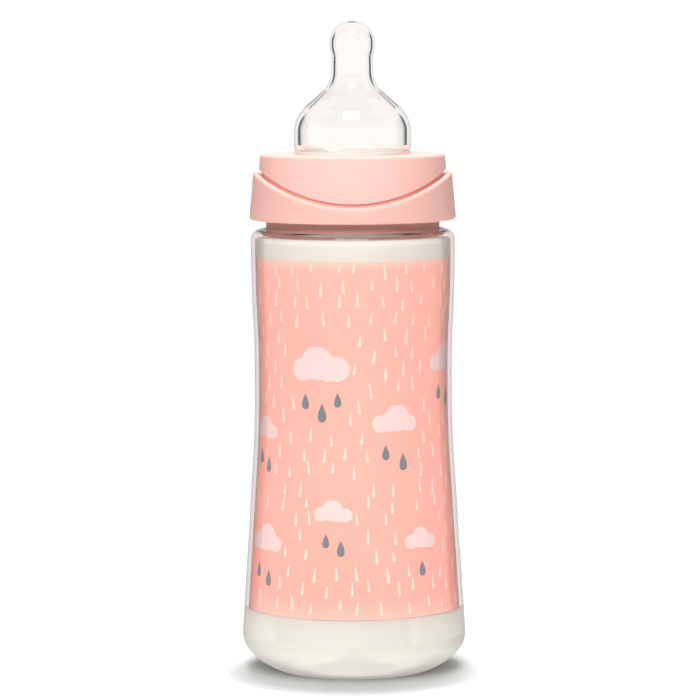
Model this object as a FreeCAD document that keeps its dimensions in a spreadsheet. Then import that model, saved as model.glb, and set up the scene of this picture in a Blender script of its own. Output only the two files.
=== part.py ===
import FreeCAD, Part
import Sketcher
import math
import os

# Wide-neck feeding bottle, standing on its foot ring.
# Frame: millimetres, +Z up, origin at the centre of the foot ring, -Y is the front.
# Pieces: clear outer shell, printed sleeve, milky inner vessel with a threaded
# neck, screw collar with a curved grip step, one-piece soft teat.

doc = FreeCAD.newDocument("feeding_bottle")
sheet = doc.addObject("Spreadsheet::Sheet", "dims")

DIMS = [
    # outer profile of the bottle, from the foot up
    ("foot_radius", 24.384),
    ("foot_inner_radius", 21.4),
    ("recess_radius", 20.4),
    ("recess_depth", 0.9),
    ("base_round", 20.031),
    ("belly_low_radius", 32.779),
    ("belly_low", 5.705),
    ("belly_round", 8.017),
    ("belly_radius", 34.74),
    ("belly_height", 11.502),
    ("flare_radius", 31.235),
    ("flare_height", 65.0),
    ("flare_round", 330.0),
    ("waist_radius", 30.530),
    ("waist_low", 86.569),
    ("waist_high", 94.0),
    ("chest_round", 250.0),
    ("chest_radius", 30.868),
    ("chest_height", 107.0),
    ("upper_round", 480.8),
    ("upper_radius", 31.519),
    ("upper_height", 132.0),
    ("corner_low", 133.5),
    ("shoulder_round", 3.0),
    ("shoulder_radius", 28.519),
    ("shoulder_height", 136.5),
    ("mouth_radius", 25.65),
    # clear shell
    ("shell_wall", 1.45),
    ("dish_rim_radius", 28.3),
    ("dish_radius", 27.1),
    ("dish_height", 135.75),
    ("taper_height", 19.2),
    ("shell_taper_radius", 32.782),
    ("shell_belly_radius", 34.141),
    ("shell_belly_height", 11.463),
    ("shell_belly_round", 7.417),
    ("shell_low_radius", 32.327),
    ("shell_low", 6.1),
    ("shell_base_round", 19.431),
    ("shell_floor_radius", 26.38),
    ("shell_floor", 1.5),
    # printed sleeve
    ("film_gap", 0.15),
    ("film_thick", 0.15),
    ("film_low", 19.7),
    ("film_high", 128.3),
    ("film_low_radius", 34.203),
    ("film_high_radius", 31.505),
    ("film_sweep", 334.0),
    # milky vessel
    ("liner_gap", 0.05),
    ("liner_wall", 1.0),
    ("liner_base", 1.65),
    ("liner_base_radius", 26.345),
    ("liner_base_round", 19.281),
    ("liner_low_radius", 32.214),
    ("liner_low", 6.199),
    ("liner_belly_round", 7.267),
    ("liner_belly_radius", 33.991),
    ("liner_belly_height", 11.453),
    ("liner_taper_radius", 32.432),
    ("liner_corner_round", 2.0),
    ("liner_shoulder", 134.7),
    ("bead_radius", 25.6),
    ("bead_low", 136.4),
    ("bead_round", 0.5),
    ("bead_high", 136.9),
    ("neck_radius", 24.5),
    ("neck_low", 154.6),
    ("rim_round", 1.0),
    ("rim_height", 155.6),
    ("neck_inner_radius", 22.6),
    ("neck_inner_low", 137.0),
    ("throat_round", 3.4),
    ("throat_radius", 26.0),
    ("inner_shoulder", 133.6),
    ("inner_corner", 132.8),
    ("inner_corner_round", 0.8),
    ("cavity_floor", 3.0),
    ("cavity_floor_radius", 26.337),
    ("cavity_base_round", 18.081),
    ("cavity_low_radius", 31.31),
    ("cavity_low", 6.988),
    ("cavity_belly_round", 6.067),
    ("cavity_belly_radius", 32.794),
    ("cavity_belly_height", 11.375),
    ("cavity_taper_radius", 31.43),
    # screw thread, one start, right hand
    ("thread_pitch", 5.0),
    ("thread_foot_half", 1.1),
    ("thread_crest_half", 0.5),
    ("thread_bury", 0.2),
    ("neck_crest_radius", 25.6),
    ("neck_thread_start", 145.0),
    ("neck_thread_rise", 7.5),
    ("ring_crest_radius", 24.9),
    ("ring_thread_start", 143.0),
    ("ring_thread_rise", 6.25),
    # screw collar
    ("ring_bottom", 139.57),
    ("ring_top", 159.7),
    ("ring_bore", 26.0),
    ("ring_mouth", 26.25),
    ("ring_mouth_height", 136.6),
    ("sleeve_bottom", 136.1),
    ("sleeve_radius", 26.8),
    ("ring_ceiling", 157.5),
    ("skirt_inner_radius", 27.5),
    ("skirt_foot_radius", 30.95),
    ("skirt_radius", 31.85),
    ("skirt_corner", 0.9),
    ("skirt_top", 157.0),
    ("skirt_top_radius", 30.42),
    ("grip_low", 144.43),
    ("grip_round", 49.5),
    ("grip_half", 35.2),
    ("grip_chord", 159.127),
    ("grip_edge_round", 0.9),
    ("channel_round", 48.35),
    ("channel_under", 50.0),
    ("channel_half", 36.0),
    ("channel_floor_low", 29.3),
    ("channel_floor_high", 27.65),
    ("tier_foot_radius", 30.2),
    ("tier_radius", 28.55),
    ("lip_round", 0.9),
    ("hole_radius", 17.7),
    ("hole_round", 0.6),
    ("core_inner_radius", 28.4),
    ("core_outer_radius", 30.1),
    ("core_top", 143.0),
    ("core_below", 138.5),
    # teat, outside
    ("flange_low", 155.75),
    ("flange_high", 157.35),
    ("flange_radius", 23.2),
    ("flange_round", 0.5),
    ("groove_radius", 17.35),
    ("groove_high", 159.6),
    ("bulge_round", 11.367),
    ("bulge_radius", 18.04),
    ("bulge_low", 163.5),
    ("dome_height", 166.5),
    ("dome_round", 10.3),
    ("dome_end_radius", 14.538),
    ("dome_end_height", 174.238),
    ("flank_radius", 9.120),
    ("flank_height", 178.99),
    ("flank_round", 8.0),
    ("stem_low_radius", 6.4),
    ("stem_low", 185.0),
    ("stem_radius", 6.3),
    ("stem_high", 189.7),
    ("bulb_round", 9.09),
    ("bulb_radius", 6.92),
    ("bulb_low", 193.0),
    ("bulb_height", 194.1),
    ("tip_round", 6.32),
    ("tip_flat", 0.6),
    ("tip_height", 200.42),
    ("milk_hole_radius", 0.3),
    # teat, inside
    ("teat_mouth_radius", 15.565),
    ("teat_mouth_high", 160.252),
    ("foot_inner_round", 9.467),
    ("teat_chamber_radius", 16.14),
    ("teat_chamber_low", 163.5),
    ("dome_inner_round", 8.4),
    ("dome_inner_end_radius", 13.883),
    ("dome_inner_end_height", 172.229),
    ("flank_inner_radius", 7.745),
    ("flank_inner_height", 178.794),
    ("flank_inner_round", 9.1),
    ("stem_inner_radius", 5.3),
    ("bulb_inner_low_radius", 5.22),
    ("bulb_inner_low", 189.9),
    ("bulb_inner_low_round", 9.5),
    ("bulb_inner_radius", 5.86),
    ("bulb_inner_mid", 193.3),
    ("bulb_inner_height", 193.9),
    ("tip_inner_round", 5.36),
    ("tip_inner_flat", 0.5),
    ("tip_inner_height", 199.26),
    # vent boss inside the foot of the dome
    ("vent_radius", 2.2),
    ("vent_reach", 15.75),
    ("vent_depth", 2.0),
    ("vent_height", 162.3),
    ("vent_turn", 20.0),
]
VALUE = dict(DIMS)
for row, (alias, size) in enumerate(DIMS, start=1):
    sheet.set("A%d" % row, alias)
    sheet.set("B%d" % row, repr(size))
    sheet.setAlias("B%d" % row, alias)
doc.recompute()


def terms(text):
    """Split 'a - b + c' into signed aliases."""
    sign, out = 1.0, []
    for word in text.split():
        if word == "+":
            sign = 1.0
        elif word == "-":
            sign = -1.0
        else:
            out.append((sign, word))
            sign = 1.0
    return out


def number(text):
    return sum(s * VALUE[w] for s, w in terms(text))


def formula(text):
    return " ".join(
        w if w in "+-" else "dims." + w for w in text.split()
    )


def plane(body, role):
    return [o for o in body.Origin.OriginFeatures if o.Role == role][0]


def new_body(name):
    body = doc.addObject("PartDesign::Body", name)
    body.Label = name
    return body


def new_sketch(body, name, role="XZ_Plane"):
    sk = body.newObject("Sketcher::SketchObject", name)
    sk.AttachmentSupport = [(plane(body, role), "")]
    sk.MapMode = "FlatFace"
    return sk


def outline(body, name, points, arcs):
    """Closed sketch in the XZ plane. points: (radius, height) as sums of
    aliases, '0' on an axis. arcs: {segment index: (radius, side)}, where the
    centre lies on the left (L) or right (R) of the way from point to point."""
    sk = new_sketch(body, name)
    xy = [
        (0.0 if x == "0" else number(x), 0.0 if y == "0" else number(y))
        for x, y in points
    ]
    n = len(points)
    ends = []
    for i in range(n):
        p, q = xy[i], xy[(i + 1) % n]
        if i in arcs:
            rad, side = arcs[i]
            r = number(rad)
            mx, my = (p[0] + q[0]) / 2, (p[1] + q[1]) / 2
            dx, dy = q[0] - p[0], q[1] - p[1]
            length = math.hypot(dx, dy)
            lift = math.sqrt(max(r * r - length * length / 4, 0.0))
            k = 1.0 if side == "L" else -1.0
            cx, cy = mx - k * dy / length * lift, my + k * dx / length * lift
            ap = math.atan2(p[1] - cy, p[0] - cx)
            aq = math.atan2(q[1] - cy, q[0] - cx)
            circle = Part.Circle(
                FreeCAD.Vector(cx, cy, 0), FreeCAD.Vector(0, 0, 1), r
            )
            if side == "L":
                g = sk.addGeometry(Part.ArcOfCircle(circle, ap, aq), False)
                ends.append((g, 1, 2))
            else:
                g = sk.addGeometry(Part.ArcOfCircle(circle, aq, ap), False)
                ends.append((g, 2, 1))
        else:
            g = sk.addGeometry(
                Part.LineSegment(
                    FreeCAD.Vector(p[0], p[1], 0), FreeCAD.Vector(q[0], q[1], 0)
                ),
                False,
            )
            ends.append((g, 1, 2))
    for i in range(n):
        g, a, b = ends[i]
        g2, a2, b2 = ends[(i + 1) % n]
        sk.addConstraint(Sketcher.Constraint("Coincident", g, b, g2, a2))
    for i in range(n):
        g, a, b = ends[i]
        x, y = points[i]
        for axis, text, kind, value in (
            (-2, x, "DistanceX", xy[i][0]),
            (-1, y, "DistanceY", xy[i][1]),
        ):
            if text == "0":
                sk.addConstraint(
                    Sketcher.Constraint("PointOnObject", g, a, axis)
                )
                continue
            c = sk.addConstraint(
                Sketcher.Constraint(kind, -1, 1, g, a, value)
            )
            label = "p%d%s" % (i, kind[-1].lower())
            sk.renameConstraint(c, label)
            sk.setExpression("Constraints." + label, formula(text))
        if i in arcs:
            c = sk.addConstraint(
                Sketcher.Constraint("Radius", g, number(arcs[i][0]))
            )
            sk.renameConstraint(c, "arc%d" % i)
            sk.setExpression("Constraints.arc%d" % i, formula(arcs[i][0]))
    if sk.solve() != 0:
        raise RuntimeError("sketch %s has no solution" % name)
    return sk


def revolve(body, sk, name, kind="PartDesign::Revolution"):
    feature = body.newObject(kind, name)
    feature.Profile = sk
    feature.ReferenceAxis = (sk, ["V_Axis"])
    feature.Angle = 360.0
    return feature


def ridge(body, name, wall, crest, start, rise):
    """Screw thread: a trapezoid swept along a helix around the axis."""
    sk = outline(
        body,
        name + "_section",
        [
            (wall, start + " - thread_foot_half"),
            (crest, start + " - thread_crest_half"),
            (crest, start + " + thread_crest_half"),
            (wall, start + " + thread_foot_half"),
        ],
        {},
    )
    helix = body.newObject("PartDesign::AdditiveHelix", name)
    helix.Profile = sk
    helix.ReferenceAxis = (sk, ["V_Axis"])
    helix.Mode = "pitch-height-angle"
    helix.Angle = 0.0
    helix.LeftHanded = False
    helix.Reversed = False
    helix.setExpression("Pitch", "dims.thread_pitch")
    helix.setExpression("Height", "dims." + rise)
    return helix


# ---------------------------------------------------------------- outer shell
shell = new_body("outer_shell")
w = " - shell_wall"
shell_points = [
    ("0", "recess_depth"),
    ("recess_radius", "recess_depth"),
    ("foot_inner_radius", "0"),
    ("foot_radius", "0"),
    ("belly_low_radius", "belly_low"),
    ("belly_radius", "belly_height"),
    ("flare_radius", "flare_height"),
    ("waist_radius", "waist_low"),
    ("waist_radius", "waist_high"),
    ("chest_radius", "chest_height"),
    ("upper_radius", "upper_height"),
    ("upper_radius", "corner_low"),
    ("shoulder_radius", "shoulder_height"),
    ("dish_rim_radius", "shoulder_height"),
    ("dish_radius", "dish_height"),
    ("mouth_radius", "dish_height"),
    ("mouth_radius", "shoulder_height" + w),
    ("shoulder_radius", "shoulder_height" + w),
    ("upper_radius" + w, "corner_low"),
    ("upper_radius" + w, "upper_height"),
    ("chest_radius" + w, "chest_height"),
    ("waist_radius" + w, "waist_high"),
    ("waist_radius" + w, "waist_low"),
    ("flare_radius" + w, "flare_height"),
    ("shell_taper_radius", "taper_height"),
    ("shell_belly_radius", "shell_belly_height"),
    ("shell_low_radius", "shell_low"),
    ("shell_floor_radius", "shell_floor"),
    ("0", "shell_floor"),
]
shell_arcs = {
    3: ("base_round", "L"),
    4: ("belly_round", "L"),
    6: ("flare_round", "R"),
    8: ("chest_round", "R"),
    9: ("upper_round", "L"),
    11: ("shoulder_round", "L"),
    17: ("shoulder_round - shell_wall", "R"),
    19: ("upper_round", "R"),
    20: ("chest_round", "L"),
    22: ("flare_round", "L"),
    25: ("shell_belly_round", "R"),
    26: ("shell_base_round", "R"),
}
revolve(shell, outline(shell, "shell_profile", shell_points, shell_arcs), "shell_wall_solid")

# -------------------------------------------------------------- printed film
film = new_body("printed_film")
o = " - shell_wall - film_gap"
i = o + " - film_thick"
film_points = [
    ("film_low_radius" + o, "film_low"),
    ("flare_radius" + o, "flare_height"),
    ("waist_radius" + o, "waist_low"),
    ("waist_radius" + o, "waist_high"),
    ("chest_radius" + o, "chest_height"),
    ("film_high_radius" + o, "film_high"),
    ("film_high_radius" + i, "film_high"),
    ("chest_radius" + i, "chest_height"),
    ("waist_radius" + i, "waist_high"),
    ("waist_radius" + i, "waist_low"),
    ("flare_radius" + i, "flare_height"),
    ("film_low_radius" + i, "film_low"),
]
film_arcs = {
    1: ("flare_round", "R"),
    3: ("chest_round", "R"),
    4: ("upper_round", "L"),
    6: ("upper_round", "R"),
    7: ("chest_round", "L"),
    9: ("flare_round", "L"),
}
film_turn = revolve(film, outline(film, "film_profile", film_points, film_arcs), "film_sleeve")
film_turn.Midplane = True
film_turn.setExpression("Angle", "dims.film_sweep")
# the reading window, where the sleeve is open, faces the back (+Y)
film.Placement = FreeCAD.Placement(
    FreeCAD.Vector(0, 0, 0), FreeCAD.Rotation(FreeCAD.Vector(0, 0, 1), -90)
)

# -------------------------------------------------------------- inner vessel
vessel = new_body("inner_vessel")
o = " - shell_wall - film_gap - film_thick - liner_gap"
i = o + " - liner_wall"
vessel_points = [
    ("0", "liner_base"),
    ("liner_base_radius", "liner_base"),
    ("liner_low_radius", "liner_low"),
    ("liner_belly_radius", "liner_belly_height"),
    ("liner_taper_radius", "taper_height"),
    ("flare_radius" + o, "flare_height"),
    ("waist_radius" + o, "waist_low"),
    ("waist_radius" + o, "waist_high"),
    ("chest_radius" + o, "chest_height"),
    ("upper_radius" + o, "upper_height"),
    ("upper_radius" + o, "liner_shoulder - liner_corner_round"),
    ("upper_radius" + o + " - liner_corner_round", "liner_shoulder"),
    ("bead_radius", "liner_shoulder"),
    ("bead_radius", "bead_low"),
    ("bead_radius - bead_round", "bead_high"),
    ("neck_radius", "bead_high"),
    ("neck_radius", "neck_low"),
    ("neck_radius - rim_round", "rim_height"),
    ("neck_inner_radius", "rim_height"),
    ("neck_inner_radius", "neck_inner_low"),
    ("throat_radius", "inner_shoulder"),
    ("upper_radius" + i + " - inner_corner_round", "inner_shoulder"),
    ("upper_radius" + i, "inner_corner"),
    ("upper_radius" + i, "upper_height"),
    ("chest_radius" + i, "chest_height"),
    ("waist_radius" + i, "waist_high"),
    ("waist_radius" + i, "waist_low"),
    ("flare_radius" + i, "flare_height"),
    ("cavity_taper_radius", "taper_height"),
    ("cavity_belly_radius", "cavity_belly_height"),
    ("cavity_low_radius", "cavity_low"),
    ("cavity_floor_radius", "cavity_floor"),
    ("0", "cavity_floor"),
]
vessel_arcs = {
    1: ("liner_base_round", "L"),
    2: ("liner_belly_round", "L"),
    5: ("flare_round", "R"),
    7: ("chest_round", "R"),
    8: ("upper_round", "L"),
    10: ("liner_corner_round", "L"),
    13: ("bead_round", "L"),
    16: ("rim_round", "L"),
    19: ("throat_round", "L"),
    21: ("inner_corner_round", "R"),
    23: ("upper_round", "R"),
    24: ("chest_round", "L"),
    26: ("flare_round", "L"),
    29: ("cavity_belly_round", "R"),
    30: ("cavity_base_round", "R"),
}
revolve(vessel, outline(vessel, "vessel_profile", vessel_points, vessel_arcs), "vessel_wall")
doc.recompute()
ridge(
    vessel,
    "neck_thread",
    "neck_radius - thread_bury",
    "neck_crest_radius",
    "neck_thread_start",
    "neck_thread_rise",
)

# -------------------------------------------------------------- screw collar
# The skirt is shaped first, in a body of its own: a ring whose top is cut to one arc.
skirt = new_body("collar_skirt")
skirt_points = [
    ("skirt_inner_radius", "ring_bottom"),
    ("skirt_foot_radius", "ring_bottom"),
    ("skirt_radius", "ring_bottom + skirt_corner"),
    ("skirt_top_radius", "skirt_top"),
    ("skirt_inner_radius", "skirt_top"),
]
revolve(
    skirt,
    outline(skirt, "skirt_profile", skirt_points, {1: ("skirt_corner", "L")}),
    "skirt",
)
doc.recompute()
before = skirt.Shape.Volume

# the grip step: one arc, cut straight through from front to back
grip_sketch = new_sketch(skirt, "grip_arc")
half, chord = VALUE["grip_half"], VALUE["grip_chord"]
big = VALUE["grip_round"]
rise = math.sqrt(big * big - half * half)
centre = FreeCAD.Vector(0, chord + rise, 0)
start = math.atan2(-rise, -half)
arc = grip_sketch.addGeometry(
    Part.ArcOfCircle(
        Part.Circle(centre, FreeCAD.Vector(0, 0, 1), big), start, -math.pi - start
    ),
    False,
)
line = grip_sketch.addGeometry(
    Part.LineSegment(
        FreeCAD.Vector(half, chord, 0), FreeCAD.Vector(-half, chord, 0)
    ),
    False,
)
grip_sketch.addConstraint(Sketcher.Constraint("Coincident", arc, 2, line, 1))
grip_sketch.addConstraint(Sketcher.Constraint("Coincident", line, 2, arc, 1))
grip_sketch.addConstraint(Sketcher.Constraint("Horizontal", line))
grip_sketch.addConstraint(Sketcher.Constraint("PointOnObject", arc, 3, -2))
c = grip_sketch.addConstraint(Sketcher.Constraint("Radius", arc, big))
grip_sketch.renameConstraint(c, "grip_radius")
grip_sketch.setExpression("Constraints.grip_radius", "dims.grip_round")
c = grip_sketch.addConstraint(
    Sketcher.Constraint("DistanceY", -1, 1, arc, 3, VALUE["grip_low"] + big)
)
grip_sketch.renameConstraint(c, "grip_centre")
grip_sketch.setExpression(
    "Constraints.grip_centre", "dims.grip_low + dims.grip_round"
)
c = grip_sketch.addConstraint(
    Sketcher.Constraint("DistanceY", -1, 1, line, 1, chord)
)
grip_sketch.renameConstraint(c, "grip_top")
grip_sketch.setExpression("Constraints.grip_top", "dims.grip_chord")
if grip_sketch.solve() != 0:
    raise RuntimeError("grip arc has no solution")
grip = skirt.newObject("PartDesign::Pocket", "grip_step")
grip.Profile = grip_sketch
grip.SideType = "Symmetric"
grip.Type = "Length"
grip.Length = 90.0
doc.recompute()
if not skirt.Shape.Volume < before - 1000.0:
    raise RuntimeError("the grip step cut nothing")


def edge_names(shape, keep):
    """Names of the edges whose sampled points (radius, height) all pass keep."""
    names = []
    for k, e in enumerate(shape.Edges, start=1):
        pts = e.discretize(9)
        if all(keep(math.hypot(p.x, p.y), p.z) for p in pts):
            names.append("Edge%d" % k)
    return names


low = VALUE["grip_low"]
step_edges = edge_names(
    grip.Shape, lambda r, z: r > VALUE["skirt_top_radius"] - 0.3 and z > low - 0.5
)
# the seam of the skirt, which lies in the XZ plane, is not part of the step's rim
step_edges = [
    e
    for e in step_edges
    if max(abs(p.y) for p in grip.Shape.getElement(e).discretize(9)) > 5.0
]
soft = skirt.newObject("PartDesign::Fillet", "grip_edge")
soft.Base = (grip, step_edges)
soft.setExpression("Radius", "dims.grip_edge_round")
doc.recompute()

# The channel under the tier's lower edge: a band between two arcs, cut straight
# through from front to back, as deep as the tier's wall allows.
channel = new_body("grip_channel")
band_sketch = new_sketch(channel, "channel_band")
half = VALUE["channel_half"]
middle = VALUE["grip_low"] + VALUE["grip_round"]
ends = []
for big in (VALUE["channel_round"], VALUE["channel_under"]):
    rise = math.sqrt(big * big - half * half)
    start = math.atan2(-rise, -half)
    ends.append(
        (
            band_sketch.addGeometry(
                Part.ArcOfCircle(
                    Part.Circle(
                        FreeCAD.Vector(0, middle, 0), FreeCAD.Vector(0, 0, 1), big
                    ),
                    start,
                    -math.pi - start,
                ),
                False,
            ),
            middle - rise,
        )
    )
(upper, upper_end), (under, under_end) = ends
sides = []
for side, point in ((half, 2), (-half, 1)):
    k = band_sketch.addGeometry(
        Part.LineSegment(
            FreeCAD.Vector(side, upper_end, 0), FreeCAD.Vector(side, under_end, 0)
        ),
        False,
    )
    band_sketch.addConstraint(Sketcher.Constraint("Coincident", upper, point, k, 1))
    band_sketch.addConstraint(Sketcher.Constraint("Coincident", under, point, k, 2))
    band_sketch.addConstraint(Sketcher.Constraint("Vertical", k))
    sides.append(k)
band_sketch.addConstraint(Sketcher.Constraint("PointOnObject", upper, 3, -2))
band_sketch.addConstraint(Sketcher.Constraint("Coincident", upper, 3, under, 3))
for label, kind, where, size, bound in (
    ("upper_radius", "Radius", (upper,), VALUE["channel_round"], "dims.channel_round"),
    ("under_radius", "Radius", (under,), VALUE["channel_under"], "dims.channel_under"),
    ("centre", "DistanceY", (-1, 1, upper, 3), middle, "dims.grip_low + dims.grip_round"),
    ("right", "DistanceX", (-1, 1, sides[0], 1), half, "dims.channel_half"),
    ("left", "DistanceX", (sides[1], 1, -1, 1), half, "dims.channel_half"),
):
    c = band_sketch.addConstraint(Sketcher.Constraint(kind, *where, size))
    band_sketch.renameConstraint(c, label)
    band_sketch.setExpression("Constraints." + label, bound)
if band_sketch.solve() != 0:
    raise RuntimeError("channel band has no solution")
band = channel.newObject("PartDesign::Pad", "channel_pad")
band.Profile = band_sketch
band.SideType = "Symmetric"
band.Type = "Length"
band.Length = 90.0
doc.recompute()
before = channel.Shape.Volume
floor_points = [
    ("0", "sleeve_bottom"),
    ("channel_floor_low", "sleeve_bottom"),
    ("channel_floor_low", "ring_bottom"),
    ("channel_floor_high", "ring_top - lip_round"),
    ("channel_floor_high", "ring_top + skirt_corner"),
    ("0", "ring_top + skirt_corner"),
]
revolve(
    channel,
    outline(channel, "channel_floor", floor_points, {}),
    "channel_depth",
    "PartDesign::Groove",
)
doc.recompute()
if not channel.Shape.Volume < before - 1000.0:
    raise RuntimeError("the channel has no floor")

ring = new_body("screw_collar")
tier_points = [
    ("ring_mouth", "sleeve_bottom"),
    ("sleeve_radius", "sleeve_bottom"),
    ("sleeve_radius", "ring_bottom"),
    ("tier_foot_radius", "ring_bottom"),
    ("tier_radius", "ring_top - lip_round"),
    ("tier_radius - lip_round", "ring_top"),
    ("hole_radius + hole_round", "ring_top"),
    ("hole_radius", "ring_top - hole_round"),
    ("hole_radius", "ring_ceiling"),
    ("ring_bore", "ring_ceiling"),
    ("ring_bore", "ring_mouth_height"),
]
revolve(
    ring,
    outline(
        ring,
        "tier_profile",
        tier_points,
        {4: ("lip_round", "L"), 6: ("hole_round", "L")},
    ),
    "tier",
)
doc.recompute()
before = ring.Shape.Volume
cut = ring.newObject("PartDesign::Boolean", "channel_cut")
cut.Type = "Cut"
cut.setObjects([channel])
doc.recompute()
if not ring.Shape.Volume < before - 50.0:
    raise RuntimeError("the channel cut nothing")
before = ring.Shape.Volume
join = ring.newObject("PartDesign::Boolean", "skirt_join")
join.Type = "Fuse"
join.setObjects([skirt])
doc.recompute()
if not ring.Shape.Volume > before + 500.0:
    raise RuntimeError("the skirt was not joined")
before = ring.Shape.Volume
core_points = [
    ("core_inner_radius", "core_below"),
    ("core_outer_radius", "core_below"),
    ("core_outer_radius", "core_top"),
    ("core_inner_radius", "core_top"),
]
revolve(
    ring,
    outline(ring, "core_profile", core_points, {}),
    "skirt_core",
    "PartDesign::Groove",
)
doc.recompute()
if not ring.Shape.Volume < before - 500.0:
    raise RuntimeError("the skirt core cut nothing")
before = ring.Shape.Volume
ridge(
    ring,
    "ring_thread",
    "ring_bore + thread_bury",
    "ring_crest_radius",
    "ring_thread_start",
    "ring_thread_rise",
)
doc.recompute()

# --------------------------------------------------------------------- teat
teat = new_body("teat")
teat_points = [
    ("teat_mouth_radius", "flange_low"),
    ("flange_radius - flange_round", "flange_low"),
    ("flange_radius", "flange_low + flange_round"),
    ("flange_radius", "flange_high - flange_round"),
    ("flange_radius - flange_round", "flange_high"),
    ("groove_radius", "flange_high"),
    ("groove_radius", "groove_high"),
    ("bulge_radius", "bulge_low"),
    ("bulge_radius", "dome_height"),
    ("dome_end_radius", "dome_end_height"),
    ("flank_radius", "flank_height"),
    ("stem_low_radius", "stem_low"),
    ("stem_radius", "stem_high"),
    ("bulb_radius", "bulb_low"),
    ("bulb_radius", "bulb_height"),
    ("tip_flat", "tip_height"),
    ("milk_hole_radius", "tip_height"),
    ("milk_hole_radius", "tip_inner_height"),
    ("tip_inner_flat", "tip_inner_height"),
    ("bulb_inner_radius", "bulb_inner_height"),
    ("bulb_inner_radius", "bulb_inner_mid"),
    ("bulb_inner_low_radius", "bulb_inner_low"),
    ("stem_inner_radius", "stem_low"),
    ("flank_inner_radius", "flank_inner_height"),
    ("dome_inner_end_radius", "dome_inner_end_height"),
    ("teat_chamber_radius", "dome_height"),
    ("teat_chamber_radius", "teat_chamber_low"),
    ("teat_mouth_radius", "teat_mouth_high"),
]
teat_arcs = {
    1: ("flange_round", "L"),
    3: ("flange_round", "L"),
    6: ("bulge_round", "L"),
    8: ("dome_round", "L"),
    10: ("flank_round", "R"),
    12: ("bulb_round", "L"),
    14: ("tip_round", "L"),
    18: ("tip_inner_round", "R"),
    20: ("bulb_inner_low_round", "R"),
    22: ("flank_inner_round", "L"),
    24: ("dome_inner_round", "R"),
    26: ("foot_inner_round", "R"),
}
revolve(teat, outline(teat, "teat_profile", teat_points, teat_arcs), "teat_wall")
doc.recompute()
before = teat.Shape.Volume
vent = teat.newObject("PartDesign::AdditiveCylinder", "vent_boss")
vent.setExpression("Radius", "dims.vent_radius")
vent.setExpression("Height", "dims.vent_depth")
turn = math.radians(VALUE["vent_turn"])
away = FreeCAD.Vector(-math.sin(turn), -math.cos(turn), 0)
vent.Placement = FreeCAD.Placement(
    FreeCAD.Vector(
        away.x * VALUE["vent_reach"], away.y * VALUE["vent_reach"], VALUE["vent_height"]
    ),
    FreeCAD.Rotation(FreeCAD.Vector(0, 0, 1), away),
)
doc.recompute()
if not before + 1.0 < teat.Shape.Volume < before + 60.0:
    raise RuntimeError("the vent boss is not on the wall")

# ------------------------------------------------------------ check and write
doc.recompute()
for obj in doc.Objects:
    bad = [s for s in obj.State if s in ("Invalid", "Error")]
    if bad:
        raise RuntimeError("%s: %s" % (obj.Name, bad))
parts = [shell, film, vessel, ring, teat]
for body in parts:
    shape = body.Shape
    if shape.isNull() or not shape.isValid():
        raise RuntimeError("%s has no valid shape" % body.Label)
    if len(shape.Solids) != 1:
        raise RuntimeError("%s has %d solids" % (body.Label, len(shape.Solids)))
os.makedirs("parts", exist_ok=True)
for body in parts:
    body.Shape.exportStep("parts/%s.step" % body.Label)
    box = body.Shape.optimalBoundingBox()
    print(
        "%-14s volume %9.1f mm3  x %.2f..%.2f  y %.2f..%.2f  z %.2f..%.2f"
        % (body.Label, body.Shape.Volume, box.XMin, box.XMax, box.YMin, box.YMax, box.ZMin, box.ZMax)
    )
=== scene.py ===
import bpy
import bmesh
import math
import random
from mathutils import Matrix, Vector


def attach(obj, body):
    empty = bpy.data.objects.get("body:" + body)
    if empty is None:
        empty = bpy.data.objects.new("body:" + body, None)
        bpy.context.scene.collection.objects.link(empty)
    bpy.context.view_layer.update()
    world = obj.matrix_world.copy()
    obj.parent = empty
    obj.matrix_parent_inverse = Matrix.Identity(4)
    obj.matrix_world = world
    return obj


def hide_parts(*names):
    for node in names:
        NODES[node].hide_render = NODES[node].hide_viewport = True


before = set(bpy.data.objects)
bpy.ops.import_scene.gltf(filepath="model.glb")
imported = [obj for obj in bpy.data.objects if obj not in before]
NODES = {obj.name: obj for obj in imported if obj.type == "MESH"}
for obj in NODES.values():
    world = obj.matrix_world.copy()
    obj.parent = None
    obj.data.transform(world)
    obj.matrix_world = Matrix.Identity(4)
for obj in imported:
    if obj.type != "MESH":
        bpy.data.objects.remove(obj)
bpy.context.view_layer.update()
MM = 0.001
TAU = 2.0 * math.pi


# ---------------------------------------------------------------- body profile
# Outside radius of the bottle body at a height, both in millimetres: a straight
# taper, a concave waist and a shallow convex chest.
def body_radius(z):
    if z < 65.0:
        return 34.740 + (z - 11.502) * (31.235 - 34.740) / (65.0 - 11.502)
    if z < 86.569:
        return 360.53 - math.sqrt(330.0 ** 2 - (z - 86.569) ** 2)
    if z < 94.0:
        return 30.53
    if z < 107.0:
        return 280.53 - math.sqrt(250.0 ** 2 - (z - 94.0) ** 2)
    if z < 132.0:
        return -449.281 + math.sqrt(480.8 ** 2 - (z - 132.0) ** 2)
    return 31.519


def layer_radius(z, depth):
    """Radius of a layer that lies a given depth under the outside of the body."""
    slope = (body_radius(z + 0.05) - body_radius(z - 0.05)) / 0.1
    return body_radius(z) - depth * math.sqrt(1.0 + slope * slope)


FILM_OUT = 1.60       # depth of the outside of the printed film
VESSEL_OUT = 1.80     # depth of the outside of the milky vessel
INK = 0.06            # ink layer
FILM_LOW, FILM_HIGH = 19.7, 128.3
FILM_HALF = math.radians(167.0)


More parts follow.
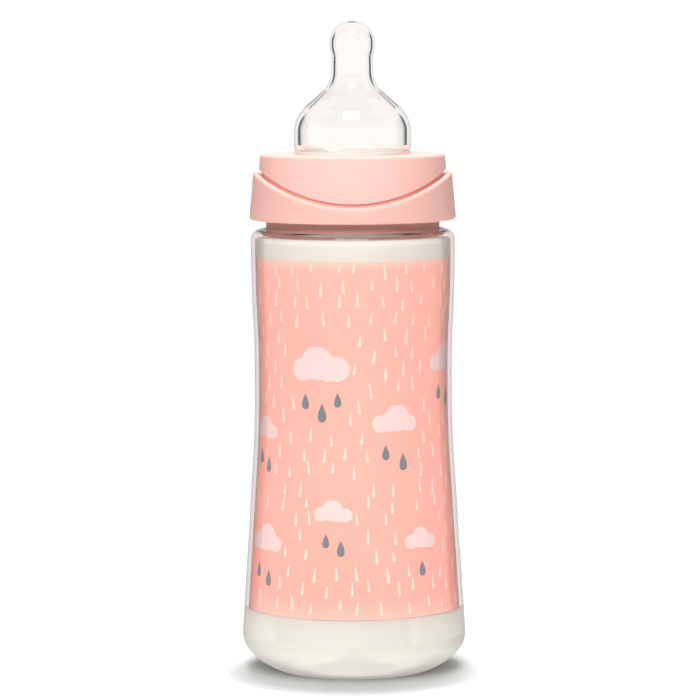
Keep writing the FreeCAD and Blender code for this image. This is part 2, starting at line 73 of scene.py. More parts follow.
# ------------------------------------------------------------------- node tools
class Graph:
    """A small wrapper that makes and joins shader nodes."""

    def __init__(self, tree):
        self.tree = tree
        tree.nodes.clear()

    def node(self, kind, inputs=None, **settings):
        n = self.tree.nodes.new(kind)
        for key, value in settings.items():
            setattr(n, key, value)
        for key, value in (inputs or {}).items():
            self.put(n, key, value)
        return n

    def put(self, n, key, value):
        socket = n.inputs[key]
        if isinstance(value, bpy.types.NodeSocket):
            self.tree.links.new(value, socket)
        else:
            socket.default_value = value

    def math(self, op, a, b=0.0, c=None, clamp=False):
        n = self.node("ShaderNodeMath", operation=op, use_clamp=clamp)
        self.put(n, 0, a)
        self.put(n, 1, b)
        if c is not None:
            self.put(n, 2, c)
        return n.outputs[0]

    def ramp(self, value, low, high, to_low, to_high, smooth=False):
        n = self.node("ShaderNodeMapRange", interpolation_type="SMOOTHSTEP" if smooth else "LINEAR")
        n.clamp = True
        self.put(n, "Value", value)
        self.put(n, "From Min", low)
        self.put(n, "From Max", high)
        self.put(n, "To Min", to_low)
        self.put(n, "To Max", to_high)
        return n.outputs[0]

    def mix(self, factor, a, b):
        n = self.node("ShaderNodeMix", data_type="RGBA")
        self.put(n, 0, factor)
        self.put(n, 6, a)
        self.put(n, 7, b)
        return n.outputs[2]

    def noise(self, scale, detail=2.0, rough=0.5, vector=None, stretch=None):
        if vector is None:
            vector = self.coords()
        if stretch is not None:
            m = self.node("ShaderNodeMapping")
            self.put(m, "Vector", vector)
            self.put(m, "Scale", stretch)
            vector = m.outputs[0]
        n = self.node("ShaderNodeTexNoise", noise_dimensions="3D")
        self.put(n, "Vector", vector)
        self.put(n, "Scale", scale)
        self.put(n, "Detail", detail)
        self.put(n, "Roughness", rough)
        return n.outputs[0]

    def coords(self):
        if not hasattr(self, "_coords"):
            self._coords = self.node("ShaderNodeTexCoord").outputs["Object"]
        return self._coords

    def bump(self, height, strength, distance):
        n = self.node("ShaderNodeBump")
        self.put(n, "Strength", strength)
        self.put(n, "Distance", distance)
        self.put(n, "Height", height)
        return n.outputs[0]


def new_material(name):
    m = bpy.data.materials.new(name)
    m.use_nodes = True
    return m, Graph(m.node_tree)


def colour(r, g, b):
    return (r, g, b, 1.0)


# -------------------------------------------------------------------- materials
def clear_material(name, tint, ior, rough, wave_size, wave_depth, lamp_tint):
    """A clear moulding: it refracts, its gloss varies a little, and lamps shine through."""
    m, g = new_material(name)
    p = g.node("ShaderNodeBsdfPrincipled")
    g.put(p, "Base Color", colour(*tint))
    g.put(p, "IOR", ior)
    g.put(p, "Transmission Weight", 1.0)
    smear = g.noise(90.0, 3.0, 0.55)
    g.put(p, "Roughness", g.ramp(smear, 0.3, 0.7, rough[0], rough[1]))
    wave = g.noise(1.0 / wave_size, 1.0, 0.4)
    g.put(p, "Normal", g.bump(wave, 0.25, wave_depth))
    lamp = g.node("ShaderNodeBsdfTransparent", {"Color": colour(*lamp_tint)})
    path = g.node("ShaderNodeLightPath")
    both = g.node("ShaderNodeMixShader")
    g.put(both, 0, path.outputs["Is Shadow Ray"])
    g.put(both, 1, p.outputs[0])
    g.put(both, 2, lamp.outputs[0])
    out = g.node("ShaderNodeOutputMaterial")
    g.put(out, "Surface", both.outputs[0])
    return m


def moulded_material(name, base, deep, rough, scatter, radius, sheen=0.3, grain=0.00002, tone_and_painted_light_bands=(), skirt_painted_shade=None):
    """An opaque or milky moulded plastic with faint flow mottling and a fine skin texture."""
    m, g = new_material(name)
    p = g.node("ShaderNodeBsdfPrincipled")
    mottle = g.noise(70.0, 3.0, 0.5, stretch=(1.0, 1.0, 0.45))
    fine = g.noise(900.0, 2.0, 0.6)
    blend = g.math("ADD", g.ramp(mottle, 0.3, 0.7, 0.0, 0.75), g.ramp(fine, 0.3, 0.7, 0.0, 0.25))
    tone = g.mix(blend, colour(*base), colour(*deep))
    # Height bands: each colours what lies below its first height and fades out by its second (heights given downward
    # colour what lies above). Some bands are painted light, as the vessel's call shows.
    for low, high, band_colour in tone_and_painted_light_bands:
        up = g.ramp(g.node("ShaderNodeSeparateXYZ", {"Vector": g.coords()}).outputs[2], low * MM, high * MM, 0.0, 1.0)
        tone = g.mix(up, g.mix(blend, colour(*band_colour), colour(*[0.97 * c for c in band_colour])), tone)
    # Painted shade: below the grip step, outside an arc about the collar's axis, the pink turns deeper, as if the
    # lower skirt got less light.
    if skirt_painted_shade:
        middle, reach, skirt_shade_colour = skirt_painted_shade
        spot = g.node("ShaderNodeSeparateXYZ", {"Vector": g.coords()})
        rise = g.math("SUBTRACT", spot.outputs[2], middle * MM)
        far = g.math("SQRT", g.math("ADD", g.math("MULTIPLY", spot.outputs[0], spot.outputs[0]), g.math("MULTIPLY", rise, rise)))
        below = g.ramp(far, (reach + 0.2) * MM, (reach + 1.6) * MM, 0.0, 1.0)
        tone = g.mix(below, tone, g.mix(blend, colour(*skirt_shade_colour), colour(*[0.97 * c for c in skirt_shade_colour])))
    g.put(p, "Base Color", tone)
    g.put(p, "Roughness", g.ramp(g.noise(160.0, 4.0, 0.6), 0.3, 0.7, rough[0], rough[1]))
    g.put(p, "Subsurface Weight", scatter)
    g.put(p, "Subsurface Radius", radius)
    g.put(p, "Subsurface Scale", 1.0)
    g.put(p, "IOR", 1.49)
    g.put(p, "Specular IOR Level", sheen)
    skin = g.noise(2600.0, 2.0, 0.5)
    g.put(p, "Normal", g.bump(skin, 0.30, grain))
    out = g.node("ShaderNodeOutputMaterial")
    g.put(out, "Surface", p.outputs[0])
    return m


def ink_material(name, base, deep, rough, painted_light_foot=None, rims=()):
    """Printed ink: a fine screen grain in its colour and gloss."""
    m, g = new_material(name)
    p = g.node("ShaderNodeBsdfPrincipled")
    cloud = g.noise(110.0, 3.0, 0.55)
    screen = g.noise(3200.0, 1.0, 0.5)
    blend = g.math("ADD", g.ramp(cloud, 0.3, 0.7, 0.0, 0.6), g.ramp(screen, 0.35, 0.65, 0.0, 0.4))
    tone = g.mix(blend, colour(*base), colour(*deep))
    # Painted light: when a foot colour is given, the ink is deeper at the film's lower edge and paler toward its top,
    # offsetting the shade under the collar and the bounce light from the floor.
    if painted_light_foot:
        up = g.ramp(g.node("ShaderNodeSeparateXYZ", {"Vector": g.coords()}).outputs[2], FILM_LOW * MM, FILM_HIGH * MM, 0.0, 1.0)
        tone = g.mix(up, g.mix(blend, colour(*painted_light_foot), colour(*[0.97 * c for c in painted_light_foot])), tone)
    for inner, outer, thin in rims:
        edge = g.ramp(g.node("ShaderNodeSeparateXYZ", {"Vector": g.coords()}).outputs[2], inner * MM, outer * MM, 0.0, 1.0)
        tone = g.mix(edge, tone, g.mix(blend, colour(*thin), colour(*[0.97 * c for c in thin])))
    g.put(p, "Base Color", tone)
    g.put(p, "Roughness", g.ramp(screen, 0.3, 0.7, rough[0], rough[1]))
    g.put(p, "IOR", 1.45)
    g.put(p, "Normal", g.bump(screen, 0.2, 0.00001))
    out = g.node("ShaderNodeOutputMaterial")
    g.put(out, "Surface", p.outputs[0])
    return m


# The clear shell's faint pink tint is painted light: it stands in for the print's pink light seen through the clear
# margin.
SHELL = clear_material("clear_shell_look", (0.99, 0.875, 0.845), 1.49, (0.010, 0.030), 0.012, 0.00004, (0.96, 0.96, 0.955))
TEAT = clear_material("clear_silicone_look", (0.985, 0.970, 0.950), 1.41, (0.006, 0.022), 0.006, 0.00003, (0.95, 0.945, 0.935))
SEAT = moulded_material("milky_silicone_look", (0.82, 0.805, 0.775), (0.80, 0.785, 0.755), (0.40, 0.52), 0.5, (0.003, 0.003, 0.003))
# The vessel's bands: a warmer tone on the bare neck above 136.3 mm; a pink tint just under the print's lower edge;
# painted shade darkening the base from 16-20 mm down; painted light making it lighter again from 9 mm down to the
# bottom edge.
VESSEL = moulded_material("milky_vessel_look", (0.705, 0.780, 0.740), (0.68, 0.755, 0.715), (0.30, 0.42), 0.30, (0.004, 0.0036, 0.003), tone_and_painted_light_bands=((22.0, 26.0, (0.60, 0.555, 0.505)), (16.0, 20.0, (0.590, 0.618, 0.572)), (2.0, 9.0, (0.740, 0.770, 0.715)), (136.3, 135.6, (0.72, 0.695, 0.650))))
# The collar's skirt below the grip step is painted a deeper pink: painted shade.
COLLAR = moulded_material("pink_collar_look", (0.92, 0.535, 0.480), (0.90, 0.515, 0.460), (0.34, 0.44), 0.12, (0.002, 0.0009, 0.0006), sheen=0.12, skirt_painted_shade=(193.93, 49.5, (0.83, 0.470, 0.415)))
# The print's deeper foot colour is painted light that evens out its shading from top to foot.
PRINT = ink_material("pink_print_look", (0.97, 0.500, 0.425), (0.95, 0.480, 0.405), (0.40, 0.52), painted_light_foot=(0.97, 0.435, 0.365), rims=((FILM_HIGH - 2.6, FILM_HIGH, (0.90, 0.66, 0.57)), (FILM_LOW + 6.0, FILM_LOW, (0.94, 0.54, 0.46))))
WHITE_INK = ink_material("white_ink_look", (0.93, 0.76, 0.70), (0.91, 0.73, 0.67), (0.42, 0.54))
PALE_INK = ink_material("pale_ink_look", (0.80, 0.68, 0.68), (0.78, 0.66, 0.66), (0.42, 0.54))
SLATE_INK = ink_material("slate_ink_look", (0.155, 0.205, 0.240), (0.145, 0.195, 0.230), (0.42, 0.54))


def dress(node, material):
    for s in NODES[node].material_slots:
        s.link = "OBJECT"
        s.material = material


dress("printed_film", PRINT)
dress("inner_vessel", VESSEL)
dress("screw_collar", COLLAR)


# ------------------------------------------------------------- turned mouldings
def path(start, *moves, turn=2.5, step=2.5):
    """Points (radius, height) along a profile: straight to (r, z), or by an arc to (r, z, bend).

    A positive bend has its centre left of the way, a negative one right of it."""
    points = [start]
    for move in moves:
        r0, z0 = points[-1]
        r1, z1 = move[0], move[1]
        dr, dz = r1 - r0, z1 - z0
        chord = math.hypot(dr, dz)
        if len(move) == 2:
            n = max(1, math.ceil(chord / step))
            if chord > 1.5:
                nick = 0.12 / chord
                shares = [nick] + [k / n for k in range(1, n)] + [1.0 - nick, 1.0]
            else:
                shares = [k / n for k in range(1, n + 1)]
            points += [(r0 + dr * s, z0 + dz * s) for s in shares]
            continue
        bend = move[2]
        away = math.sqrt(max(0.0, bend * bend - 0.25 * chord * chord))
        side = 1.0 if bend > 0.0 else -1.0
        cr = 0.5 * (r0 + r1) - side * away * dz / chord
        cz = 0.5 * (z0 + z1) + side * away * dr / chord
        a0 = math.atan2(z0 - cz, r0 - cr)
        sweep = 2.0 * math.asin(min(1.0, 0.5 * chord / abs(bend))) * side
        n = max(2, math.ceil(abs(math.degrees(sweep)) / turn), math.ceil(chord / step))
        points += [
            (cr + abs(bend) * math.cos(a0 + sweep * k / n), cz + abs(bend) * math.sin(a0 + sweep * k / n))
            for k in range(1, n)
        ] + [(r1, z1)]
    return points


def turned(name, profile, material, body, node, segments=224, shift=None, sharp=18.0, foot=None):
    """Turns a closed profile about the Z axis into a smooth closed piece.

    The profile starts on the axis, runs round the outside and ends on the axis or at its start."""
    bm = bmesh.new()
    rings = []
    for i, (r, z) in enumerate(profile):
        if r < 1e-6:
            rings.append([bm.verts.new((0.0, 0.0, z * MM))])
            continue
        ring = []
        for k in range(segments):
            a = TAU * k / segments
            rr = shift(i, r, z, a) if shift else r
            ring.append(bm.verts.new((rr * MM * math.sin(a), -rr * MM * math.cos(a), z * MM)))
        rings.append(ring)
    pairs = list(zip(range(len(rings)), range(1, len(rings))))
    if len(rings[0]) > 1:
        pairs.append((len(rings) - 1, 0))
    for i, j in pairs:
        a, b = rings[i], rings[j]
        for k in range(segments):
            n = (k + 1) % segments
            if len(a) == 1:
                bm.faces.new((a[0], b[n], b[k]))
            elif len(b) == 1:
                bm.faces.new((a[k], a[n], b[0]))
            else:
                bm.faces.new((a[k], a[n], b[n], b[k]))
    for f in bm.faces:
        f.smooth = True
    count = len(profile)
    for i in range(count):
        if len(rings[i]) == 1:
            continue
        before, here, after = profile[i - 1], profile[i], profile[(i + 1) % count]
        one = math.atan2(here[1] - before[1], here[0] - before[0])
        two = math.atan2(after[1] - here[1], after[0] - here[0])
        bent = abs(math.degrees((two - one + math.pi) % TAU - math.pi))
        if bent > sharp:
            ring = rings[i]
            for k in range(segments):
                e = bm.edges.get((ring[k], ring[(k + 1) % segments]))
                if e:
                    e.smooth = False
    piece = finish_piece(name, bm, material, body)
    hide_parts(node)
    if foot:
        piece.data.materials.append(foot[0])
        for f in piece.data.polygons:
            if max(piece.data.vertices[i].co.z for i in f.vertices) < foot[1] * MM:
                f.material_index = 1
    return piece


def finish_piece(name, bm, material, body):
    me = bpy.data.meshes.new(name)
    bmesh.ops.recalc_face_normals(bm, faces=bm.faces[:])
    bm.to_mesh(me)
    bm.free()
    o = bpy.data.objects.new(name, me)
    bpy.context.scene.collection.objects.link(o)
    me.materials.append(material)
    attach(o, body)
    return o


# Clear shell. Its wall is 1.45 thick, thins towards the base, and lies flush on the vessel there.
outside = path(
    (0.0, 0.9), (20.4, 0.9), (21.4, 0.0), (24.384, 0.0), (32.779, 5.705, 20.031), (34.740, 11.502, 8.017),
    (31.235, 65.0), (30.53, 86.569, -330.0), (30.53, 94.0), (30.868, 107.0, -250.0), (31.519, 132.0, 480.8),
    (31.519, 133.5), (28.519, 136.5, 3.0), (28.3, 136.5), (27.1, 135.75), (25.65, 135.75), (25.65, 135.05),
    (28.519, 135.05), (30.069, 133.5, -1.55),
)
inside = []
for k in range(49):
    z = 132.0 - (132.0 - 19.64) * k / 48.0
    inside.append((layer_radius(z, 1.45), z))
inside.append((layer_radius(19.5, 1.84), 19.5))
TOE = path((32.432, 19.2), (33.991, 11.453), (32.214, 6.199, -7.267), (26.345, 1.65, -19.281), turn=2.0, step=0.6)
for k in range(1, len(TOE)):
    r, z = TOE[k]
    ahead = TOE[min(k + 1, len(TOE) - 1)]
    back = TOE[k - 1]
    run = math.hypot(ahead[0] - back[0], ahead[1] - back[1])
    inside.append((r - 0.04 * (back[1] - ahead[1]) / run, z - 0.04 * (ahead[0] - back[0]) / run))
inside += path(inside[-1], (0.0, inside[-1][1]), step=4.0)[1:]
turned("clear_shell", outside + inside, SHELL, "bottle", "outer_shell")

# Clear teat: seat, groove, dome, flare, stem and bulb, with a vent boss inside the foot of the dome.
teat_outside = path(
    (0.3, 199.26), (0.5, 199.26), (5.86, 193.9, -5.36), (5.86, 193.3), (5.22, 189.9, -9.5), (5.3, 185.0),
    (7.745, 178.794, 9.1), (13.883, 172.229), (16.14, 166.5, -8.4), (16.14, 163.5), (15.565, 160.252, -9.467),
    (15.565, 155.75), (22.7, 155.75), (23.2, 156.25, 0.5), (23.2, 156.85), (22.7, 157.35, 0.5), (17.62, 157.35),
    (17.62, 159.3), (18.04, 163.5, 21.0), (18.04, 166.5), (14.538, 174.238, 10.3), (9.12, 178.99),
    (6.4, 185.0, -8.0), (6.3, 189.7), (6.92, 193.0, 9.09), (6.92, 194.1), (0.6, 200.42, 6.32), (0.3, 200.42),
    turn=2.0, step=0.5,
)
VENT_TURN, VENT_Z, VENT_R, VENT_REACH = math.radians(-20.0), 162.3, 2.2, 15.75


def vent_boss(i, r, z, a):
    if r > 16.3 or not 158.0 < z < 166.5:
        return r
    across = ((a - VENT_TURN + math.pi) % TAU - math.pi) * r
    far = math.hypot(across, z - VENT_Z)
    s = min(1.0, max(0.0, (VENT_R + 0.35 - far) / 0.7))
    return r + (min(r, VENT_REACH) - r) * 0.6 * s * s * (3.0 - 2.0 * s)


turned("clear_teat", teat_outside, TEAT, "teat", "teat", segments=240, shift=vent_boss, foot=(SEAT, 161.0))


# ------------------------------------------------------------------------ print
def on_layer(angle, z, depth):
    """A point on a layer of the body; the angle runs from the front towards +X."""
    r = layer_radius(z, depth) * MM
    return Vector((r * math.sin(angle), -r * math.cos(angle), z * MM))


def add_patch(bm, outline, depth, step=(0.9, 2.5), band_colour=INK):
    """Lays a flat outline, given as (angle, height) points, on a layer as a thin closed ink patch.

    The outline is cut into small cells first so that the patch follows the curved layer."""
    tmp = bmesh.new()
    z0 = sum(p[1] for p in outline) / len(outline)
    r0 = layer_radius(z0, depth)
    face = tmp.faces.new([tmp.verts.new((a * r0, z, 0.0)) for a, z in outline])
    tmp.normal_update()
    if face.normal.z < 0.0:
        face.normal_flip()
    for axis, size in ((0, step[0]), (1, step[1])):
        low = min(v.co[axis] for v in tmp.verts)
        high = max(v.co[axis] for v in tmp.verts)
        k = math.ceil((low + 1e-4) / size)
        while k * size < high - 1e-4:
            at = Vector((0.0, 0.0, 0.0))
            at[axis] = k * size
            way = Vector((0.0, 0.0, 0.0))
            way[axis] = 1.0
            bmesh.ops.bisect_plane(tmp, geom=tmp.verts[:] + tmp.edges[:] + tmp.faces[:], dist=1e-5, plane_co=at, plane_no=way)
            k += 1
    bmesh.ops.triangulate(tmp, faces=[f for f in tmp.faces if len(f.verts) > 4])
    tmp.verts.index_update()
    top, foot = {}, {}
    for v in tmp.verts:
        top[v.index] = bm.verts.new(on_layer(v.co.x / r0, v.co.y, depth - band_colour))
        foot[v.index] = bm.verts.new(on_layer(v.co.x / r0, v.co.y, depth))
    for f in tmp.faces:
        ring = [v.index for v in f.verts]
        bm.faces.new([top[i] for i in ring])
        bm.faces.new([foot[i] for i in reversed(ring)])
    for e in tmp.edges:
        if len(e.link_faces) == 1:
            loop = next(l for l in e.link_faces[0].loops if l.edge == e)
            a, b = loop.vert.index, loop.link_loop_next.vert.index
            bm.faces.new((top[b], top[a], foot[a], foot[b]))
    tmp.free()


def cloud_outline(lobes, n=96):
    """The outline of a cluster of round lobes with a flat foot, about the origin."""
    points = []
    for k in range(n):
        t = TAU * k / n
        dx, dy = math.cos(t), math.sin(t)
        reach = 0.0
        for x, y, r in lobes:
            along = x * dx + y * dy
            off = x * x + y * y - along * along
            if off < r * r:
                reach = max(reach, along + math.sqrt(r * r - off))
        floor = min(r - y for x, y, r in lobes[:1])
        if dy < 0.0:
            reach = min(reach, floor / -dy)
        points.append((reach * dx, reach * dy))
    return points


def drop_outline(width, height, n=40):
    points = []
    for k in range(n):
        t = TAU * k / n
        points.append((0.5 * width * 1.28 * math.sin(t) * math.sin(0.5 * t) ** 1.5, 0.5 * height * math.cos(t)))
    return points


def stroke_outline(length, width, n=5):
    """A short brush mark: thin at the head, rounder at the foot."""
    right = [(0.5 * width * (0.45 + 0.55 * s) , 0.5 * length * (1.0 - 2.0 * s)) for s in [k / n for k in range(n + 1)]]
    points = [(0.18 * width, 0.5 * length + 0.15 * width)] + right + [(0.28 * width, -0.5 * length - 0.28 * width)]
    return points + [(-x, y) for x, y in reversed(points)]


def placed(outline, angle, z, turn=0.0, depth=FILM_OUT):
    """Turns a flat outline and puts it at an angle and height on a layer."""
    c, s = math.cos(turn), math.sin(turn)
    r = layer_radius(z, depth)
    return [(angle + (x * c - y * s) / r, z + x * s + y * c) for x, y in outline]


BIG = [(-5.6, -0.6, 3.5), (-0.9, 1.5, 5.1), (5.3, -0.3, 3.8), (2.6, -1.4, 2.7)]
MID = [(-4.4, -0.5, 2.7), (0.9, 1.1, 4.1), (5.0, -0.7, 2.5), (-1.5, 0.0, 3.0)]
LOW = [(-3.6, -0.4, 2.2), (0.0, 0.8, 3.2), (3.9, -0.5, 2.1), (1.8, -0.4, 2.2)]
# angle in degrees from the front, height, lobes, then its drops as (sideways, down, width, height)
CLOUDS = [
    (-20.0, 96.0, BIG, [(-4.8, 10.2, 2.7, 5.0), (0.6, 13.6, 3.1, 5.8), (5.4, 9.6, 2.5, 4.6)]),
    (25.0, 79.5, MID, [(-3.0, 9.2, 2.6, 4.8), (2.6, 12.2, 2.9, 5.4)]),
    (-12.0, 52.0, LOW, [(-2.0, 8.4, 2.4, 4.4), (2.6, 10.6, 2.7, 5.0)]),
    (66.0, 97.0, MID, [(-2.6, 9.4, 2.6, 4.8), (2.9, 11.4, 2.9, 5.4)]),
    (40.0, 43.0, LOW, [(0.2, 8.6, 2.6, 4.8)]),
    (105.0, 77.0, BIG, [(-4.8, 9.8, 2.6, 4.8), (0.3, 12.8, 3.1, 5.8), (5.0, 10.2, 2.5, 4.6)]),
    (84.0, 47.0, MID, [(-2.6, 9.2, 2.5, 4.6), (2.8, 11.2, 2.8, 5.2)]),
    (142.0, 98.0, LOW, [(-0.4, 8.8, 2.6, 4.8)]),
    (136.0, 49.0, LOW, [(-2.0, 8.4, 2.4, 4.4), (2.6, 10.6, 2.7, 5.0)]),
    (-63.0, 76.0, LOW, [(-2.2, 8.4, 2.5, 4.6), (2.4, 10.6, 2.7, 5.0)]),
    (-58.0, 42.0, MID, [(-2.8, 9.2, 2.5, 4.6), (2.6, 11.2, 2.8, 5.2)]),
    (-101.0, 94.0, BIG, [(-4.4, 10.0, 2.6, 4.8), (0.9, 13.0, 3.1, 5.8), (5.4, 9.4, 2.5, 4.6)]),
    (-108.0, 50.0, LOW, [(-2.0, 8.4, 2.4, 4.4), (2.6, 10.6, 2.7, 5.0)]),
    (-141.0, 78.5, MID, [(-2.8, 9.4, 2.6, 4.8), (2.6, 11.6, 2.9, 5.4)]),
]

cloud_bm, drop_bm, stroke_bm = bmesh.new(), bmesh.new(), bmesh.new()
taken = []            # (angle, height, half width, half height) kept free of strokes
for degrees, z, lobes, drops in CLOUDS:
    a = math.radians(degrees)
    add_patch(cloud_bm, placed(cloud_outline(lobes), a, z), FILM_OUT)
    wide = max(abs(x) + r for x, y, r in lobes)
    tall = max(y + r for x, y, r in lobes)
    taken.append((a, z + 0.5, wide + 1.2, tall + 1.6))
    for side, down, w, h in drops:
        b = a + side / layer_radius(z - down, FILM_OUT)
        add_patch(drop_bm, placed(drop_outline(w, h), b, z - down), FILM_OUT)
        taken.append((b, z - down, 0.5 * w + 1.3, 0.5 * h + 2.6))

# Strokes on a half-drop grid, shaken a little.
rng = random.Random(41)
ROW, PITCH = 5.1, 7.0
row = 0
z = FILM_HIGH - 2.4
while z > FILM_LOW + 1.6:
    r = layer_radius(z, FILM_OUT)
    count = int(2.0 * FILM_HALF * r / PITCH)
    for k in range(count):
        s = (k + 0.25 + 0.5 * (row % 2) + rng.uniform(-0.24, 0.24)) / count
        a = -FILM_HALF + 2.0 * FILM_HALF * s
        zz = z + rng.uniform(-1.1, 1.1)
        length = rng.uniform(2.7, 4.4)
        width = rng.uniform(0.74, 0.98)
        turn = math.radians(rng.uniform(-9.0, 9.0))
        half = 0.5 * length + 0.3
        if zz + half > FILM_HIGH - 0.3 or zz - half < FILM_LOW + 0.3:
            length *= 0.6
            half = 0.5 * length + 0.3
            zz = min(max(zz, FILM_LOW + 0.4 + half), FILM_HIGH - 0.4 - half)
        if abs(a) > FILM_HALF - 1.2 / r:
            continue
        if any(abs(a - ta) * r < tw and abs(zz - tz) < th + half for ta, tz, tw, th in taken):
            continue
        add_patch(stroke_bm, placed(stroke_outline(length, width), a, zz, turn), FILM_OUT, step=(5.0, 1.2))
    z -= ROW
    row += 1

finish_piece("print_clouds", cloud_bm, PALE_INK, "bottle")
finish_piece("print_drops", drop_bm, SLATE_INK, "bottle")
finish_piece("print_strokes", stroke_bm, WHITE_INK, "bottle")


# ------------------------------------------------------------------------ scale
# Graduations in the window at the back, at the heights where the inside of the
# vessel holds each amount.
def inside_radius(z):
    if z < 6.988:
        return 17.690 + math.sqrt(18.081 ** 2 - (z - 18.879) ** 2)
    if z < 11.375:
        return 26.740 + math.sqrt(6.067 ** 2 - (z - 10.978) ** 2)
    if z < 19.2:
        return 32.794 + (z - 11.375) * (31.430 - 32.794) / (19.2 - 11.375)
    return layer_radius(z, 2.8)


def fill_heights(amounts):
    heights, skirt_shade_colour, z, dz = {}, 0.0, 3.0, 0.02
    todo = sorted(amounts)
    while todo and z < 132.0:
        r = inside_radius(z)
        skirt_shade_colour += math.pi * r * r * dz / 1000.0
        z += dz
        if skirt_shade_colour >= todo[0]:
            heights[todo.pop(0)] = z
    return heights


def text_outlines(text, height):
    """Closed outlines of a plain number as mesh faces, in millimetres, centred on the origin."""
    curve = bpy.data.curves.new("number", "FONT")
    curve.body = text
    curve.size = height / 0.7
    curve.align_x = "CENTER"
    curve.align_y = "CENTER"
    curve.resolution_u = 4
    o = bpy.data.objects.new("number", curve)
    bpy.context.scene.collection.objects.link(o)
    bpy.context.view_layer.update()
    me = bpy.data.meshes.new_from_object(o)
    faces = [[(me.vertices[i].co.x, me.vertices[i].co.y) for i in p.vertices] for p in me.polygons]
    bpy.data.objects.remove(o)
    bpy.data.curves.remove(curve)
    bpy.data.meshes.remove(me)
    return faces


scale_bm = bmesh.new()
levels = fill_heights(range(60, 331, 10))
for amount, z in levels.items():
    major = amount % 30 == 0
    length = 4.6 if major else 2.4
    width = 0.45 if major else 0.32
    r = layer_radius(z, VESSEL_OUT)
    centre = math.pi - (-5.2 + 0.5 * length) / r
    box_line = [(-0.5 * length, -0.5 * width), (0.5 * length, -0.5 * width), (0.5 * length, 0.5 * width), (-0.5 * length, 0.5 * width)]
    add_patch(scale_bm, placed(box_line, centre, z, 0.0, VESSEL_OUT), VESSEL_OUT)
    if major:
        for face in text_outlines(str(amount), 2.7):
            add_patch(scale_bm, placed(face, math.pi - 3.1 / r, z, 0.0, VESSEL_OUT), VESSEL_OUT)
bmesh.ops.remove_doubles(scale_bm, verts=scale_bm.verts[:], dist=1e-8)
finish_piece("scale_marks", scale_bm, SLATE_INK, "bottle")


# ------------------------------------------------------------------------ floor
def floor_material():
    m, g = new_material("floor_painted_shadow_look")
    p = g.node("ShaderNodeBsdfPrincipled")
    spot = g.node("ShaderNodeSeparateXYZ", {"Vector": g.coords()})
    # Painted contact shadow: the floor's albedo drops to 0.50 close round the base, on a centre 10 mm toward the
    # front, and rises to 0.97 by 50 mm out; a faint random tone rides on top.
    far = g.math("SQRT", g.math("ADD", g.math("POWER", spot.outputs[0], 2.0), g.math("POWER", g.math("ADD", spot.outputs[1], 0.010), 2.0)))
    tone = g.math("ADD", g.ramp(far, 0.030, 0.050, 0.50, 0.97, smooth=True), g.ramp(g.noise(6.0, 2.0, 0.5), 0.0, 1.0, -0.005, 0.005))
    g.put(p, "Base Color", g.node("ShaderNodeCombineColor", {0: tone, 1: tone, 2: tone}).outputs[0])
    g.put(p, "Roughness", g.ramp(g.noise(40.0, 2.0, 0.5), 0.3, 0.7, 0.7, 0.8))
    g.put(p, "Specular IOR Level", 0.1)
    out = g.node("ShaderNodeOutputMaterial")
    g.put(out, "Surface", p.outputs[0])
    return m


bm = bmesh.new()
bmesh.ops.create_circle(bm, cap_ends=True, segments=96, radius=0.34)
floor_mesh = bpy.data.meshes.new("floor")
bm.to_mesh(floor_mesh)
bm.free()
floor = bpy.data.objects.new("floor", floor_mesh)
floor.location.z = -0.00005
floor_mesh.materials.append(floor_material())
bpy.context.scene.collection.objects.link(floor)
floor.visible_glossy = False
floor.visible_transmission = False


# ------------------------------------------------------------------------ light
def area(name, place, aim, size, power, tone=(1.0, 1.0, 1.0), gloss=True, through=True):
    lamp = bpy.data.lights.new(name, "AREA")
    lamp.shape = "RECTANGLE"
    lamp.size, lamp.size_y = size
    lamp.energy = power
    lamp.color = tone
    o = bpy.data.objects.new(name, lamp)
    o.location = place
    o.rotation_euler = (Vector(aim) - Vector(place)).to_track_quat("-Z", "Y").to_euler()
    o.visible_camera = False
    o.visible_glossy = gloss
    o.visible_transmission = through
    bpy.context.scene.collection.objects.link(o)
    return o


area("softbox", (-0.04, -0.62, 1.30), (0.0, 0.0, 0.08), (0.62, 0.75), 6.5, through=False)
area("overhead", (0.0, 0.20, 1.25), (0.0, 0.0, 0.05), (0.7, 0.7), 11.0, gloss=False, through=False)
area("key", (-0.12, -1.10, 0.80), (0.0, 0.0, 0.09), (0.7, 0.5), 11.8, gloss=False, through=False)
area("rear", (0.25, 1.00, 0.80), (0.0, 0.0, 0.09), (0.9, 0.7), 4.0, gloss=False, through=False)
area("bounce_front", (0.0, -0.052, 0.0004), (0.0, -0.052, 1.0), (0.16, 0.046), 0.060, gloss=False, through=False)
area("bounce_left", (-0.060, 0.0, 0.0004), (-0.060, 0.0, 1.0), (0.05, 0.05), 0.020, gloss=False, through=False)
area("bounce_right", (0.060, 0.0, 0.0004), (0.060, 0.0, 1.0), (0.05, 0.05), 0.022, gloss=False, through=False)

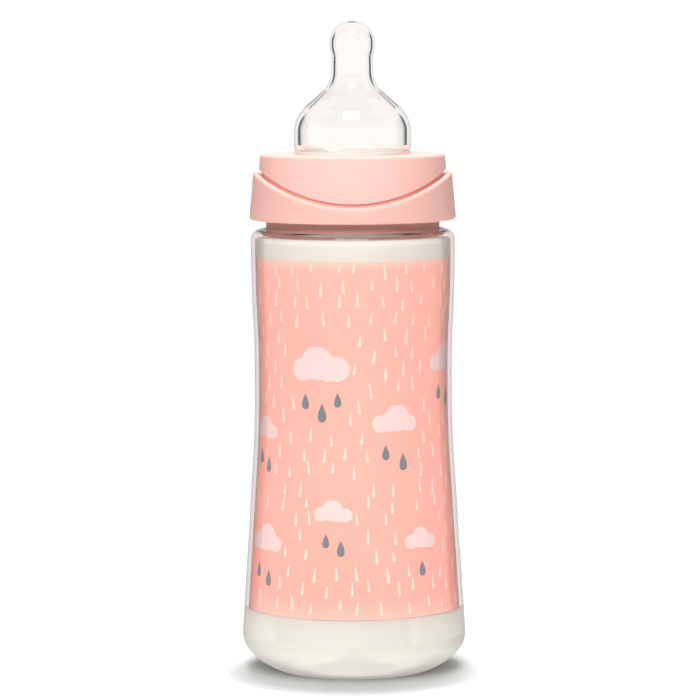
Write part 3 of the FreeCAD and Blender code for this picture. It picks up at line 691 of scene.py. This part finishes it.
world = bpy.data.worlds.new("studio")
bpy.context.scene.world = world
world.use_nodes = True
g = Graph(world.node_tree)
way = g.node("ShaderNodeTexCoord").outputs["Generated"]
parts = g.node("ShaderNodeSeparateXYZ", {"Vector": way})
off_axis = g.math("ARCTAN2", g.math("ABSOLUTE", parts.outputs[0]), parts.outputs[1])
soft = g.ramp(off_axis, math.radians(4.0), math.radians(20.0), 0.0, 0.06, smooth=True)
deep = g.ramp(off_axis, math.radians(29.3), math.radians(31.5), 0.0, 0.92, smooth=True)
leave = g.ramp(off_axis, math.radians(52.0), math.radians(60.0), 1.0, 0.0, smooth=True)
flags = g.math("MULTIPLY", g.math("ADD", soft, deep), leave)
low = g.ramp(parts.outputs[2], 0.25, 0.45, 1.0, 0.0, smooth=True)
aside = g.math("MULTIPLY", g.ramp(off_axis, math.radians(62.0), math.radians(76.0), 0.0, 0.25, smooth=True),
               g.ramp(off_axis, math.radians(105.0), math.radians(130.0), 1.0, 0.0, smooth=True))
front = g.ramp(off_axis, math.radians(125.0), math.radians(150.0), 0.0, 0.20, smooth=True)
level = g.math("ADD", g.math("ADD", aside, front), g.math("SUBTRACT", 1.02, g.math("MULTIPLY", flags, low)))
mirrored = g.node("ShaderNodeBackground", {"Color": colour(1.0, 1.0, 1.0)})
g.put(mirrored, "Strength", level)
fill = g.node("ShaderNodeBackground", {"Color": colour(1.0, 1.0, 1.0), "Strength": 0.22})
plain = g.node("ShaderNodeBackground", {"Color": colour(1.0, 1.0, 1.0), "Strength": 1.05})
seen = g.node("ShaderNodeLightPath")
gloss = g.node("ShaderNodeBackground", {"Color": colour(1.0, 1.0, 1.0), "Strength": 0.55})
plain_or_gloss = g.node("ShaderNodeMixShader")
g.put(plain_or_gloss, 0, seen.outputs["Is Glossy Ray"])
g.put(plain_or_gloss, 1, fill.outputs[0])
g.put(plain_or_gloss, 2, gloss.outputs[0])
some = g.node("ShaderNodeMixShader")
g.put(some, 0, seen.outputs["Is Transmission Ray"])
g.put(some, 1, plain_or_gloss.outputs[0])
g.put(some, 2, mirrored.outputs[0])
both = g.node("ShaderNodeMixShader")
g.put(both, 0, seen.outputs["Is Camera Ray"])
g.put(both, 1, some.outputs[0])
g.put(both, 2, plain.outputs[0])
out = g.node("ShaderNodeOutputWorld")
g.put(out, "Surface", both.outputs[0])

scene = bpy.context.scene
scene.view_settings.view_transform = "Standard"
scene.view_settings.look = "None"


# ----------------------------------------------------------------------- camera
lens = bpy.data.cameras.new("camera")
lens.sensor_width = 36.0
lens.lens = 185.14
lens.clip_start = 0.01
lens.clip_end = 50.0
camera = bpy.data.objects.new("camera", lens)
camera.matrix_world = (
    Matrix.Translation((0.0, -1.1112, 0.2023))
    @ Matrix.Rotation(3.2 / 3600.0, 4, "Z")
    @ Matrix.Rotation(math.radians(90.0 - 5.316), 4, "X")
    @ Matrix.Rotation(math.radians(-0.2), 4, "Z")
)
scene.collection.objects.link(camera)
scene.camera = camera
